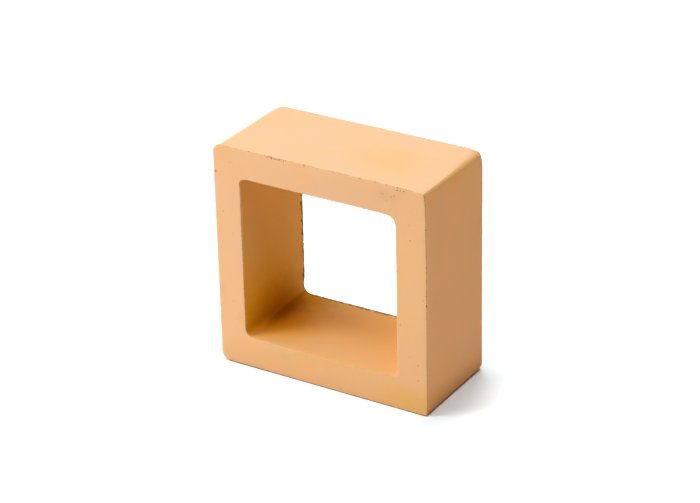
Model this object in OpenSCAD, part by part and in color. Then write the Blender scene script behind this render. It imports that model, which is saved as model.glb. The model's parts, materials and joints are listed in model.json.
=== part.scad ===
// Ceramic breeze block for a ventilated screen wall.
// One piece of fired clay: a square tube with rounded corners, open from the front face to the back face.
// X runs across the face, Y runs from the front face to the back face, Z is up.
// The origin is on the bed face, under the centre of the block.

/* [Block] */
// Width of the face
block_width = 190; // [140:1:300]
// Height of the face
block_height = 190; // [140:1:300]
// Depth from the front face to the back face
block_depth = 88; // [40:1:200]

/* [Walls] */
// Thickness of the left wall, as seen from the front
wall_left = 24; // [15:0.5:40]
// Thickness of the right wall, as seen from the front
wall_right = 26.5; // [15:0.5:40]
// Thickness of the top wall
wall_top = 25; // [15:0.5:40]
// Thickness of the bottom wall
wall_bottom = 27; // [15:0.5:40]

/* [Outer corners] */
// Radius of the top left corner, as seen from the front
corner_top_left = 5.5; // [1.5:0.5:12]
// Radius of the top right corner
corner_top_right = 2; // [1.5:0.5:12]
// Radius of the bottom left corner
corner_bottom_left = 7; // [1.5:0.5:12]
// Radius of the bottom right corner
corner_bottom_right = 3; // [1.5:0.5:12]

/* [Opening corners] */
// Radius of the opening's top left corner, as seen from the front
opening_top_left = 5; // [3:0.5:20]
// Radius of the opening's top right corner
opening_top_right = 8; // [3:0.5:20]
// Radius of the opening's bottom left corner
opening_bottom_left = 6; // [3:0.5:20]
// Radius of the opening's bottom right corner
opening_bottom_right = 5; // [3:0.5:20]

/* [Arrises] */
// Radius of the arris round the outside of the front and back faces
outer_arris = 0.5; // [0.3:0.1:1.5]
// Radius of the arris round the two mouths of the opening
mouth_arris = 0.5; // [0.3:0.1:1.5]

/* [Hidden] */
$fn = 96;

// Colour of the fired clay
clay_colour = [0.93, 0.71, 0.52];

opening_width = block_width - wall_left - wall_right;
opening_height = block_height - wall_top - wall_bottom;
// Centre of the opening, off the centre of the face because the walls differ
opening_x = (wall_left - wall_right) / 2;
opening_z = wall_bottom + opening_height / 2;
// Corner radii clockwise from the top right
outer_corners = [corner_top_right, corner_bottom_right, corner_bottom_left, corner_top_left];
opening_corners = [opening_top_right, opening_bottom_right, opening_bottom_left, opening_top_left];
// How far the opening's cutter runs on past the front and back faces
overrun = 2;

// Section of the solid block: a rectangle with its four corners rounded over.
module eased_section(across) {
    square([across - 2 * outer_arris, block_depth], center = true);
    square([across, block_depth - 2 * outer_arris], center = true);
    for (x = [-1, 1], y = [-1, 1])
        translate([x * (across / 2 - outer_arris), y * (block_depth / 2 - outer_arris)])
            circle(outer_arris);
}

// Section of the opening: a rectangle that widens along a quarter circle at both mouths.
module flared_section(across) {
    square([across, block_depth], center = true);
    for (y = [-1, 1])
        difference() {
            translate([0, y * (block_depth + overrun - mouth_arris) / 2])
                square([across + 2 * mouth_arris, overrun + mouth_arris], center = true);
            for (x = [-1, 1])
                translate([x * (across / 2 + mouth_arris), y * (block_depth / 2 - mouth_arris)])
                    circle(mouth_arris);
        }
}

// Quarter of a square form, seen along Y, with its inner corner past the form's centre and its outer corner round.
// Its child is a section whose own Y is the depth and whose width is $across.
module rounded_quarter(across, up, corner) {
    // Full height beside the round corner
    translate([across / 4 - corner / 2, 0, up / 4])
        rotate([0, 90, 0])
            linear_extrude(1.5 * across - corner, center = true)
                let ($across = 1.5 * up) children();
    // Full width below the round corner
    translate([across / 4, 0, up / 4 - corner / 2])
        linear_extrude(1.5 * up - corner, center = true)
            let ($across = 1.5 * across) children();
    // The round corner
    translate([across - corner, 0, up - corner])
        rotate([90, 0, 0])
            rotate_extrude()
                intersection() {
                    let ($across = 2 * corner) children();
                    translate([0, -block_depth])
                        square([across, 2 * block_depth]);
                }
}

// Square form with four round corners, seen along Y and centred on the origin.
// The corners are given clockwise from the top right.
module rounded_form(width, height, corners) {
    for (turn = [0 : 3])
        let (upright = turn % 2 == 0)
            rotate([0, 90 * turn, 0])
                rounded_quarter(
                    (upright ? width : height) / 2,
                    (upright ? height : width) / 2,
                    corners[turn]
                ) children();
}

// The whole block.
module breeze_block() {
    color(clay_colour)
        difference() {
            translate([0, 0, block_height / 2])
                rounded_form(block_width, block_height, outer_corners)
                    eased_section($across);
            translate([opening_x, 0, opening_z])
                rounded_form(opening_width, opening_height, opening_corners)
                    flared_section($across);
        }
}

breeze_block();
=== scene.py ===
"""Looks of a fired clay breeze block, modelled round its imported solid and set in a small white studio."""

import json
import math
import random

import bmesh
import bpy
from bpy.props import FloatProperty, FloatVectorProperty, IntProperty, PointerProperty
from mathutils import Euler, Matrix, Vector

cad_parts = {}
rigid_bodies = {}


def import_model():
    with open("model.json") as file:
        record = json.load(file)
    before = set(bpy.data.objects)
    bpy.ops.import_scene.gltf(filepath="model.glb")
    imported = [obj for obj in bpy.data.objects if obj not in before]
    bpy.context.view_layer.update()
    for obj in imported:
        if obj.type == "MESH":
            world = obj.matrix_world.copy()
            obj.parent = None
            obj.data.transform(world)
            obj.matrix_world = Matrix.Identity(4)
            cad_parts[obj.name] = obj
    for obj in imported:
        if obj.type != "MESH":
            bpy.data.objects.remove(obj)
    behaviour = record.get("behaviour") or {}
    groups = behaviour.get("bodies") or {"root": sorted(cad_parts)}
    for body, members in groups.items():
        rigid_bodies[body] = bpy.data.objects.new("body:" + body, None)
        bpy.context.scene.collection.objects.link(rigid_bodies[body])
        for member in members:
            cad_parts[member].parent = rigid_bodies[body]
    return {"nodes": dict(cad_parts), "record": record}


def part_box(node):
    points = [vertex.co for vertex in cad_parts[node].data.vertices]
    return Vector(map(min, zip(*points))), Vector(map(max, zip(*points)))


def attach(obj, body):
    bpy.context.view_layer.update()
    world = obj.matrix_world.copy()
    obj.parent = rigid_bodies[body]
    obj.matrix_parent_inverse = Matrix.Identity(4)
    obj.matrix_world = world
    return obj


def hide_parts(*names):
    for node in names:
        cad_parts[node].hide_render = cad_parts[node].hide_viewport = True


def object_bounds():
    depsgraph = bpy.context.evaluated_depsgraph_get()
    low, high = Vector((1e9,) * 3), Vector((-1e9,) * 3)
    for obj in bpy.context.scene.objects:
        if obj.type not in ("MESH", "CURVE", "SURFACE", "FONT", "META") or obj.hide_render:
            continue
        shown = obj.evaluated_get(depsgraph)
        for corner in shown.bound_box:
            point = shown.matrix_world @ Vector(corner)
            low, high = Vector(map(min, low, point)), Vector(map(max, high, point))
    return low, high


bl_info = {
    "name": "Fired clay breeze block",
    "version": (1, 0, 0),
    "blender": (4, 5, 0),
    "location": "3D View > Sidebar > Breeze block",
    "description": "Models a fired clay breeze block with its marks and clay finish, and its studio",
    "category": "Object",
}

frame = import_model()
CAD_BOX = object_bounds()

MM = 0.001
NODE = "breeze_block"
BODY = "root"

# The photograph's frame, in pixels, and the width of film that Blender's lens is given for
PHOTO_SIZE = (700, 503)
FILM_WIDTH = 36.0

# Stretches that sank in the kiln or were rubbed: rectangle, both ends as shares of its half width, depth and
# height from its centre, how far they moved and how far round in millimetres, and how the move fades
SLUMPS = (
    ("block", (1, -1, 1), (1, -1, 1), (-0.5, 0, -0.8), 80, "SMOOTH"),
    ("block", (1, -1, 1), (1, -1, 1), (-1.0, 0, -0.8), 16, "SHARP"),
    ("block", (1, -0.4, 1), (1, 1, 1), (-0.4, 0, -0.4), 6, "SHARP"),
    ("block", (1, 0.3, 1), (1, 1, 1), (-0.4, 0, -0.4), 7, "SHARP"),
    ("block", (1, 1, 1), (1, 1, 1), (-1.2, 0, -0.8), 12, "SHARP"),
    ("block", (1, 1, -1), (1, 1, -1), (-0.5, 0, 0.7), 6, "SHARP"),
    ("block", (-1, 1, 1), (-1, 1, 1), (0.3, 0, -0.7), 12, "SHARP"),
    ("block", (-1, -0.88, 1), (-1, 1, 1), (0.95, 0, -0.95), 7, "SMOOTH"),
    ("block", (-1, -1, -1), (-1, -1, -1), (0, 0, 0.5), 110, "SMOOTH"),
    ("opening", (-0.85, -1, -1), (0.9, -1, -1), (0, 0.4, -0.4), 3, "SMOOTH"),
    ("opening", (-1, 1, -0.8), (-1, 1, 0.5), (0.65, 0, 0), 6, "SHARP"),
)
# Pinholes that show on the front face: pixel across, pixel down, width in millimetres
FRONT_PINHOLES = (
    (230, 162, 0.7), (223, 211, 1.0), (233, 234, 0.7), (234, 301, 0.7), (410, 241, 1.1), (409, 226, 0.6),
    (400, 325, 0.9), (423, 301, 0.7), (410, 357, 0.7), (418, 366, 1.0), (418, 381, 0.9), (394, 196, 0.9),
    (386, 201, 0.6), (241, 318, 0.6), (396, 253, 0.7), (397, 271, 0.8), (381, 193, 0.7), (215.6, 171, 1.5),
    (266.3, 157.6, 1.1), (271.3, 158.7, 1.2), (273.8, 159.2, 1.0), (275.9, 159.7, 1.2), (278.5, 160.2, 1.2),
    (283.1, 161.4, 1.1), (304, 166.4, 1.0), (397, 190.4, 1.1), (400.4, 191, 1.0), (403.6, 191.6, 1.0),
)
# Short scratches on the front face: pixel across, pixel down, length in millimetres, slope in degrees
FRONT_SCRATCHES = ((383, 194, 2.2, 62), (391, 197, 1.8, 50))
# Ragged stretches of arris: pixels of both ends, face, rectangle, and in millimetres the gap between nicks
# and the largest nick
RAGGED_ARRISES = (
    ((222, 147), (262, 155), "front", "block", 8.0, 0.9),
    ((264, 156), (286, 161), "front", "block", 1.3, 1.1),
    ((290, 162), (392, 187), "front", "block", 8.0, 1.0),
    ((394, 188), (405, 191), "front", "block", 3.0, 1.4),
    ((425, 197), (427, 207), "front", "block", 1.6, 0.9),
    ((427, 207), (427, 330), "front", "block", 13.0, 1.1),
    ((426, 298), (427, 320), "front", "block", 7.0, 1.6),
    ((214, 165), (214, 174), "front", "block", 4.0, 1.9),
    ((216, 185), (224, 345), "front", "block", 12.0, 1.0),
    ((232, 361), (420, 411), "front", "block", 6.0, 1.2),
    ((397, 235), (399, 290), "front", "opening", 6.0, 1.1),
    ((243, 200), (246, 320), "front", "opening", 13.0, 0.9),
    ((302, 196), (302, 224), "back", "opening", 4.0, 1.3),
    ((302, 224), (303, 285), "back", "opening", 1.5, 2.2),
    ((311, 295), (347, 304), "back", "opening", 1.6, 2.1),
    ((347, 304), (396, 316), "back", "opening", 2.4, 1.6),
)
# Faint colour spots: pixel across, pixel down, face, reach in millimetres, strength, colour
# Some are painted light: the warm spots at the front's lower right are a painted bounce glow, and the pale
# patch on the right stile is painted light
COLOUR_SPOTS = (
    (298, 172, "front", (24, 9, 9), 0.22, "smudge"),
    (222, 288, "front", (6, 4, 12), 0.3, "smudge"),
    (241, 317, "front", (6, 4, 10), 0.3, "smudge"),
    (285, 357, "front", (8, 5, 8), 0.3, "smudge"),
    (388, 196, "front", (20, 16, 9), 0.25, "smudge"),
    (395, 160, "top", (60, 40, 12), 0.35, "flash_and_glow"),
    (279, 121, "top", (34, 22, 12), 0.25, "flash_and_glow"),
    (470, 180, "right", (9, 26, 24), 0.3, "flash_and_glow"),
    (404, 398, "front", (48, 12, 24), 0.75, "flash_and_glow"),
    (270, 358, "front", (60, 12, 18), 0.35, "flash_and_glow"),
    (412, 300, "front", (45, 12, 120), 0.25, "flash_and_glow"),
    (340, 377, "front", (110, 12, 26), 0.4, "flash_and_glow"),
    (416, 406, "front", (46, 12, 18), 0.25, "ochre_shade_and_glow"),
    (222, 149, "front", (16, 12, 9), 0.4, "flash_and_glow"),
    (412, 285, "front", (40, 12, 130), 0.6, "pale_patch_and_light"),
    (310, 170, "front", (90, 12, 16), 0.4, "pale_patch_and_light"),
    (320, 358, "front", (95, 12, 10), 0.5, "flash_and_glow"),
    (452, 180, "right", (9, 70, 14), 0.25, "amber_shade"),
)
# Painted shade in the opening's lower left corner, deeper and more saturated than the clay round it: surface,
# depth from the front mouth and reach in millimetres, and colour
CORNER_SHADES = (
    ("wall", 26, (40, 90, 92), "ochre_shade_and_glow"),
    ("wall", 38, (28, 66, 48), "dark_wall_shade"),
    ("floor", 36, (70, 62, 40), "amber_shade"),
    ("floor", 52, (22, 47, 40), "dark_floor_shade"),
    ("floor", 79, (62, 48, 40), "dark_floor_shade"),
)

# Share of a unit direction from which an edge counts as running along an axis
ALONG_AXIS = 0.99
# Angle between two faces from which the edge between them is an arris, and up to which they are shaded as one
ARRIS_ANGLE = math.radians(60)
SMOOTH_ANGLE = math.radians(40)
# How far in from the front and back faces wear of the arrises reaches, in radii of the arris
WEAR_REACH = 1.25
# Points that a slump moves the whole way, up to this many times as far from it as the nearest
SLUMP_REACH = 1.5
# Height of a dent's noise, from 0 to 1, at which the surface stays: for even dents, and for rubbed arrises
EVEN_DENTS = 0.5
RUBBED_DENTS = 0.55
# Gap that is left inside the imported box, and width of the slivers that are merged after cutting
HAIR = 0.005 * MM
SLIVER = 0.001 * MM

# Width and depth of a scratch
SCRATCH_WIDTH = 0.4 * MM
SCRATCH_DEPTH = 0.3 * MM
# Shares of a pinhole's width that its depth is drawn from, and of the largest width on each kind of side
PINHOLE_DEPTHS = (0.9, 1.3)
SIDE_PINHOLE_WIDTHS = (0.5, 0.8)
BACK_PINHOLE_WIDTHS = (0.5, 1)
# Share of the largest nick that the smallest has, and shares of a nick's width and gap that are drawn from
SMALLEST_NICK = 0.35
NICK_LENGTHS = (0.9, 1.6)
NICK_DEPTHS = (0.6, 0.9)
NICK_GAPS = (0.4, 1.6)
# Share of the hidden sides' nicks that the sides in the photograph get on their back arrises
SEEN_WEAR = 0.5
# Share of the depth that scattered pinholes keep to, and how far they keep from the back face's arrises
PINHOLE_DEPTH_SHARE = 0.9
PINHOLE_INSET = 4 * MM
# Roughness of the lump that a mark is cut with, and distance between its bumps, as shares of its width
LUMP_DENTS = 0.5
LUMP_DENT_LENGTH = 0.45

# Turns of a face at which masks of the clay finish start and are whole, as shares of a unit direction
OUTER_TURN = (0.2, 0.95)
FLOOR_TURN = (0.3, 0.95)
CORNER_SHADE_TURN = (0.35, 0.85)
LOW_SHADE_TURN = (0.1, 0.9)
FOOT_TURN = (0.2, 0.8)
RIM_SHADE_TURN = (0, 0.5)
BACK_TURN = (0.95, 0.6)
SILL_TURN = (0.1, 0.5)
# Products of two such shares at which the arrises and the painted shade of the upper edge start and are whole
ARRIS_TURN = (0.04, 0.2)
EDGE_SHADE_TURN = (0.03, 0.35)
# Heights of a noise, from 0 to 1, at which masks start and are whole
PATCH_NOISE = (0.3, 0.7)
CLOUD_NOISE = (0.35, 0.65)
RUB_NOISE = (0.38, 0.6)
RAGGED_SHADE_NOISE = (0.35, 0.65)
# Shares of a reach at which the painted shade of the rim and the foot, and spots, start and are whole
SHADE_FADE = (1.1, 0.7)
SPOT_FADE = (0.9, 0.1)
# Strengths that masks run between, shares of the rim's and the foot's reach, and roughness
LOW_SHADE_SHARES = (0.2, 1)
RUB_SHARES = (0.15, 0.85)
RIM_SHADE_SHARES = (0.3, 1)
RIM_SHARES = (0.45, 1.4)
FOOT_SHARES = (0.45, 1.4)
FOOT_SHADE_SHARES = (0.7, 1.3)
SKIN_ROUGHNESS = (0.86, 0.72)
# Shares of half the depth from the middle, between which the opening's colours go from near to far
THROUGH = (-1, 0.6)
# How far past its sides places stop counting as in the opening
LIP = (-1.6 * MM, -0.8 * MM)
# How many times closer the close patches are, their share, and how far patches shift the colours of the faces
CLOSE_PATCHES = 6
CLOSE_SHARE = 0.35
PATCH_DRIFT = 0.9
# Tints that the mottle runs between
WARM_TINT = (1.012, 0.995, 0.965)
GREY_TINT = (0.985, 1.0, 1.03)
# How far the arris tint covers the sill of the opening, as painted shade that dims its highlight
SILL_SHADE = 0.3
# Power that leaves most grit tiny, and share of a speck that is wholly dark
GRIT_POWER = 7
GRIT_CORE = 0.4
# Distance from one bulge of a spot's edge to the next, and how far the bulges of the painted corner shade and
# of spots reach
SPOT_EDGE = 5 * MM
CORNER_SHADE_RAGGED = 0.25
SPOT_RAGGED = 0.8
# How many times further apart the coarse grain is, and its share
COARSE_GRAIN = 5
COARSE_SHARE = 0.4
# Gloss of the skin, and roughness, shade and distance between shades of the broken clay
SKIN_SPECULAR = 0.08
BROKEN_ROUGHNESS = 0.95
BROKEN_SHADE = 0.6
BROKEN_LENGTH = 0.8 * MM
# Places of the colours among a Mix node's sockets
MIX_FIRST = 6
MIX_SECOND = 7
MIX_RESULT = 2

# Distances from the block over which the floor's painted contact shade, painted bounce glow and painted
# shadow change
CONTACT_SHADE_FADE = (0, 1.6 * MM)
GLOW_FADE = (7 * MM, 1.5 * MM)
NEAR_FADE = (46 * MM, 12 * MM)
# How far from the block's right and back faces the painted shadow starts and is whole
NEAR_RIGHT = (-15 * MM, 0)
NEAR_BACK = (22 * MM, -14 * MM)
# How far in from the block's right and back faces the painted contact shade stays, in radii of its lower
# right corner
CONTACT_SHADE_INSET = (0.7, 1.5)
# Share of the floor's fade at which it starts
FADE_START = 0.6


# Settings

def colour_setting(name, description, default, highest=1):
    """A colour, with parts from 0 to a highest value."""
    return FloatVectorProperty(
        name=name, description=description, default=default, subtype="COLOR", min=0, max=highest)


def length_setting(name, description, default, **limits):
    """A length or a distance."""
    return FloatProperty(name=name, description=description, default=default, unit="LENGTH", **limits)


def angle_setting(name, description, degrees):
    """An angle, given in degrees."""
    return FloatProperty(name=name, description=description, default=math.radians(degrees), subtype="ANGLE")


def power_setting(name, description, watts):
    """The power of a soft box."""
    return FloatProperty(name=name, description=description, default=watts, unit="POWER")


class BlockShape(bpy.types.PropertyGroup):
    """Sizes of the block that its packed box doesn't give."""

    corner_radii: FloatVectorProperty(
        name="Corner radii", description="Radii of the outer corners, clockwise from the top right",
        default=(2 * MM, 3 * MM, 7 * MM, 5.5 * MM), size=4, min=1 * MM, unit="LENGTH")
    opening_radii: FloatVectorProperty(
        name="Opening radii", description="Radii of the opening's corners, clockwise from the top right",
        default=(8 * MM, 5 * MM, 6 * MM, 5 * MM), size=4, min=1 * MM, unit="LENGTH")
    arris_radius: length_setting(
        "Arris radius", "Radius of the arrises round the front and back faces", 0.5 * MM, min=0.1 * MM)
    corner_segments: IntProperty(
        name="Corner segments", description="Faces round each corner", default=8, min=2)
    arris_segments: IntProperty(
        name="Arris segments", description="Faces over each arris", default=3, min=1)
    mesh_pitch: length_setting(
        "Mesh pitch", "Width of the squares that the faces are divided into", 1.8 * MM, min=1 * MM)
    bow: length_setting("Bow", "How far the faces bow in from flat after firing", 0.2 * MM, min=0)
    bow_length: length_setting("Bow length", "Distance from one bow to the next", 80 * MM, min=1 * MM)
    ripple: length_setting("Ripple", "Depth of the hand-finished unevenness of the faces", 0.08 * MM, min=0)
    ripple_length: length_setting(
        "Ripple length", "Distance from one ripple to the next", 14 * MM, min=1 * MM)
    rub: length_setting("Rub", "How far the arrises are rubbed back unevenly", 0.4 * MM, min=0)
    rub_length: length_setting(
        "Rub length", "Distance from one rubbed stretch of arris to the next", 4 * MM, min=1 * MM)


class ClayMarks(bpy.types.PropertyGroup):
    """Pinholes and nicks on the sides that the photograph doesn't show."""

    seed: IntProperty(name="Seed", description="Start of the random places", default=11)
    back_pinholes: IntProperty(
        name="Back pinholes", description="Pinholes on the back face", default=15, min=0)
    side_pinholes: IntProperty(
        name="Side pinholes", description="Pinholes on each wall that the photograph doesn't show",
        default=3, min=0)
    nick_gap: length_setting(
        "Nick gap", "Usual gap between nicks on the arrises of the back face", 7 * MM, min=0.5 * MM)
    pinhole_width: length_setting(
        "Pinhole width", "Width of the largest scattered pinhole", 1 * MM, min=0.2 * MM)
    nick_width: length_setting("Nick width", "Width of the largest scattered nick", 1.6 * MM, min=0.2 * MM)


class ClayFinish(bpy.types.PropertyGroup):
    """Colours and texture of the fired clay."""

    # Painted shade and light: the opening's colours are deeper and more saturated than the outer faces, and
    # change from front to back to even out its light
    wall_near: colour_setting(
        "Inner wall, front", "Colour of the opening's walls next to the front mouth", (0.765, 0.412, 0.105))
    wall_far: colour_setting(
        "Inner wall, back", "Colour of the opening's walls next to the back mouth", (0.875, 0.48, 0.125))
    floor_near: colour_setting(
        "Inner floor, front", "Colour of the opening's floor next to the front mouth", (0.835, 0.495, 0.21))
    floor_far: colour_setting(
        "Inner floor, back", "Colour of the opening's floor towards the back mouth", (0.91, 0.49, 0.165))
    # Painted shade in the opening's lower left corner, deeper and more saturated than the clay; the wide wall
    # colour also paints a warm bounce glow at the front's lower right
    ochre_shade_and_glow: colour_setting(
        "Ochre painted shade and glow", "Colour of the wide painted shade low on the opening's left wall, and of a painted warm glow at the front's lower right", (0.77, 0.385, 0.0))
    amber_shade: colour_setting(
        "Amber painted shade", "Colour of the wide painted shade on the opening's floor, and of a golden band along the top of the right face", (0.98, 0.42, 0.0))
    dark_wall_shade: colour_setting(
        "Dark wall shade", "Colour of the dark painted shade on the opening's left wall", (0.615, 0.27, 0.0))
    dark_floor_shade: colour_setting(
        "Dark floor shade", "Colour of the dark painted shade on the opening's floor", (0.52, 0.21, 0.0))
    # Lit and shaded copies of one clay: the top colour is paler, as painted light, and the side colour more
    # saturated, as painted shade, than the face colour
    side: colour_setting(
        "Side clay", "Colour of the left and right faces and of the bed", (0.925, 0.452, 0.182))
    face: colour_setting("Face clay", "Colour of the front and back faces", (0.86, 0.495, 0.258))
    top: colour_setting("Top clay", "Colour of the top face", (0.81, 0.517, 0.30))
    # Partly wear and partly painted shade: the rubbed arrises are darker, and the sill's arris is darkened to
    # dim its highlight
    arris: colour_setting(
        "Worn and shaded arrises", "Colour of the arrises where they are rubbed, and of their painted shade", (0.45, 0.215, 0.06))
    # Painted shade: the rounded edge between the top and right faces is tinted darker and more golden to dim
    # its highlight
    edge: colour_setting(
        "Golden edge shade", "Colour of the long edge between the top and right faces", (0.80, 0.45, 0.17))
    # Painted shade: a dark rim inside the opening next to the back mouth
    soot: colour_setting("Soot", "Colour of the painted shade round the back mouth", (0.31, 0.155, 0.025))
    # Painted contact shade: a thin dark band along the foot
    soil: colour_setting("Soil", "Colour of the painted shade at the foot", (0.09, 0.036, 0.008))
    rim: length_setting("Shaded rim width", "How far the painted shade reaches in from the back mouth", 3 * MM, min=0)
    foot: length_setting("Foot shade height", "How far the painted shade reaches up from the foot", 1.5 * MM, min=0)
    # Painted shade: the left and right faces, and a fifth as much the front and back, darken towards the foot
    damp: colour_setting("Damp foot", "Colour of the sides where the foot is darkest", (0.6, 0.265, 0.08))
    damp_height: length_setting(
        "Damp height", "How far up the sides the foot is darker", 26 * MM, min=1 * MM)
    grit: colour_setting("Grit", "Colour of the dark specks of grit", (0.42, 0.2, 0.08))
    smudge: colour_setting("Smudges", "Colour of the dull smudges left by handling", (0.70, 0.42, 0.2))
    # Partly painted: warm patches from the fire, and at the front's lower right a painted bounce glow
    flash_and_glow: colour_setting(
        "Flashes and painted glow", "Colour of the warm brown patches left by the fire, and of a painted warm bounce glow at the front's lower right", (0.87, 0.475, 0.16))
    pale_patch_and_light: colour_setting("Pale patches and painted light", "Colour of the paler patches on the front face", (0.935, 0.53, 0.24))
    broken: colour_setting("Broken clay", "Colour inside the pinholes and nicks", (0.6, 0.12, 0.005))
    patch_length: length_setting(
        "Patch length", "Distance from one colour patch to the next", 45 * MM, min=1 * MM)
    mottle_length: length_setting(
        "Mottle length", "Distance from one cloud of the mottle to the next", 26 * MM, min=1 * MM)
    wear_length: length_setting(
        "Wear length", "Distance from one worn or soiled stretch of an edge to the next",
        4 * MM, min=0.1 * MM)
    grit_spacing: length_setting(
        "Grit spacing", "Distance from one speck of grit to the next", 3.2 * MM, min=0.1 * MM)
    grit_radius: length_setting("Grit radius", "Radius of the largest speck of grit", 0.34 * MM, min=0)
    mouth_blend: length_setting(
        "Mouth blend", "How far in from its mouths the opening takes on its own colour",
        3 * MM, min=0.1 * MM)
    grain_length: length_setting(
        "Grain length", "Distance from one grain of the clay to the next", 0.9 * MM, min=0.1 * MM)
    grain_depth: length_setting("Grain depth", "Depth of the grain of the clay", 0.05 * MM, min=0)


class Studio(bpy.types.PropertyGroup):
    """Camera, lights and floor."""

    azimuth: angle_setting(
        "Azimuth", "How far the camera stands round to the right of the front face", 31.88)
    elevation: angle_setting("Elevation", "How far the camera looks down", 26.47)
    roll: angle_setting("Roll", "Turn of the camera about its own line of sight", -1.26)
    distance: length_setting("Distance", "Distance from the camera to the centre of the block", 1.962)
    lens: FloatProperty(name="Lens", description="Focal length in millimetres", default=128.8)
    aim_right: length_setting("Aim right", "How far right of the block's centre the camera aims", 0.6 * MM)
    aim_up: length_setting("Aim up", "How far above the block's centre the camera aims", 4.65 * MM)
    light_distance: length_setting("Light distance", "Distance from each soft box to the block", 2.2)
    key_azimuth: angle_setting(
        "Key azimuth", "How far the main soft box stands round from the front face", -50)
    key_elevation: angle_setting("Key elevation", "How high the main soft box stands", 18)
    key_power: power_setting("Key power", "Power of the main soft box", 41.5)
    over_azimuth: angle_setting(
        "Overhead azimuth", "Which way the overhead soft box leans from straight above", 0)
    over_elevation: angle_setting("Overhead elevation", "How high the overhead soft box stands", 87)
    over_power: power_setting("Overhead power", "Power of the overhead soft box", 30.4)
    rear_azimuth: angle_setting(
        "Rear azimuth", "How far the rear soft box stands round from the front face", -152)
    rear_elevation: angle_setting("Rear elevation", "How high the rear soft box stands", 50)
    rear_power: power_setting("Rear power", "Power of the rear soft box", 17.5)
    side_azimuth: angle_setting(
        "Side azimuth", "How far the side soft box stands round from the front face", 90)
    side_elevation: angle_setting("Side elevation", "How high the side soft box stands", 25)
    side_power: power_setting("Side power", "Power of the side soft box", 9.5)
    box_size: length_setting("Soft box size", "Width of the standing soft boxes", 1.0)
    over_size: length_setting("Overhead size", "Width of the overhead soft box", 1.2)
    sky: FloatProperty(name="Sky", description="Strength of the even light from all round", default=0.02)
    floor_shade: FloatProperty(
        name="Floor shade", description="Share of the light that the floor gives back", default=0.75)
    floor_white: colour_setting(
        "Floor white", "How pale the floor looks to the camera away from the block",
        (1.3, 1.36, 1.4), highest=2)
    floor_size: length_setting("Floor size", "Length of the floor's sides", 12, min=2)
    floor_fade: length_setting(
        "Floor fade", "How far from the block the floor has faded to white", 1, min=0.5)
    # Painted shadow and light on the floor: the near colour darkens it to the block's right, the glow paints
    # the warm light from the block's right side, and the contact shade darkens it under the block's edges
    floor_near: colour_setting(
        "Near floor", "How pale the floor looks to the camera next to the block",
        (0.99, 1.11, 1.18), highest=2)
    floor_glow: colour_setting(
        "Floor glow", "Colour of the floor where the block's right side lights it",
        (1.3, 1.16, 1.1), highest=2)
    floor_contact_shade: colour_setting(
        "Floor contact shade", "Colour of the painted shade on the floor under the block's edges", (0.3, 0.11, 0.015), highest=2)


class BreezeBlockSettings(bpy.types.PropertyGroup):
    """All the settings of the block and its studio."""

    shape: PointerProperty(type=BlockShape)
    marks: PointerProperty(type=ClayMarks)
    finish: PointerProperty(type=ClayFinish)
    studio: PointerProperty(type=Studio)


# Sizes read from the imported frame

def opening_limits():
    """Lowest and highest corner of the opening, found by rays from inside it to its four walls."""
    solid = frame["nodes"][NODE]
    low, high = (Vector(corner) for corner in frame["record"]["physics"]["openings"][0]["box_m"])
    middle = (low + high) / 2
    reach = {}
    for axis in (Vector((1, 0, 0)), Vector((0, 0, 1))):
        for way in (-1, 1):
            hit, place, _, _ = solid.ray_cast(middle, way * axis)
            if not hit:
                raise RuntimeError("the opening has no wall on one side")
            reach[(axis.x, way)] = place
    box_low, box_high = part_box(NODE)
    return (
        Vector((reach[(1, -1)].x, box_low.y, reach[(0, -1)].z)),
        Vector((reach[(1, 1)].x, box_high.y, reach[(0, 1)].z)),
    )


# The camera's place, which also carries marks from the photograph to the block

def way_to(azimuth, elevation):
    """Direction from the block to what stands that far round to the right of its front, and that high."""
    return Vector((
        math.sin(azimuth) * math.cos(elevation),
        -math.cos(azimuth) * math.cos(elevation),
        math.sin(elevation),
    ))


def camera_axes(studio):
    """The camera's right, up and backward directions."""
    back = way_to(studio.azimuth, studio.elevation)
    level = Vector((math.cos(studio.azimuth), math.sin(studio.azimuth), 0))
    turn = Matrix.Rotation(studio.roll, 3, back)
    right = turn @ level
    return right, back.cross(right), back


def camera_place(studio):
    """The point that the camera looks from."""
    low, high = CAD_BOX
    right, up, back = camera_axes(studio)
    return (low + high) / 2 + studio.aim_right * right + studio.aim_up * up + studio.distance * back


def pixel_on_plane(studio, across, down, depth):
    """The point at that depth, a plane along X and Z, which the camera sees at a pixel."""
    right, up, back = camera_axes(studio)
    focal = studio.lens / FILM_WIDTH * PHOTO_SIZE[0]
    ray = (across - PHOTO_SIZE[0] / 2) * right - (down - PHOTO_SIZE[1] / 2) * up - focal * back
    start = camera_place(studio)
    return start + ray * ((depth - start.y) / ray.y)


def pixel_on_face(studio, across, down, face):
    """The point of the block's front, top or right face that the camera sees at a pixel."""
    axis, level = {
        "front": ("y", CAD_BOX[0].y), "top": ("z", CAD_BOX[1].z), "right": ("x", CAD_BOX[1].x),
    }[face]
    start = camera_place(studio)
    ray = pixel_on_plane(studio, across, down, CAD_BOX[0].y) - start
    return start + ray * ((level - getattr(start, axis)) / getattr(ray, axis))


# Modelling tools

def select_parts(kind, test):
    """Selects the points, edges or faces of the mesh in edit mode that pass a test."""
    mesh = bpy.context.edit_object.data
    bpy.ops.mesh.select_mode(type={"verts": "VERT", "edges": "EDGE", "faces": "FACE"}[kind])
    bpy.ops.mesh.select_all(action="DESELECT")
    shape = bmesh.from_edit_mesh(mesh)
    for part in getattr(shape, kind):
        part.select_set(test(part))
    shape.select_flush_mode()
    bmesh.update_edit_mesh(mesh)


def direction(edge):
    """Unit vector along an edge."""
    return (edge.verts[1].co - edge.verts[0].co).normalized()


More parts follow.
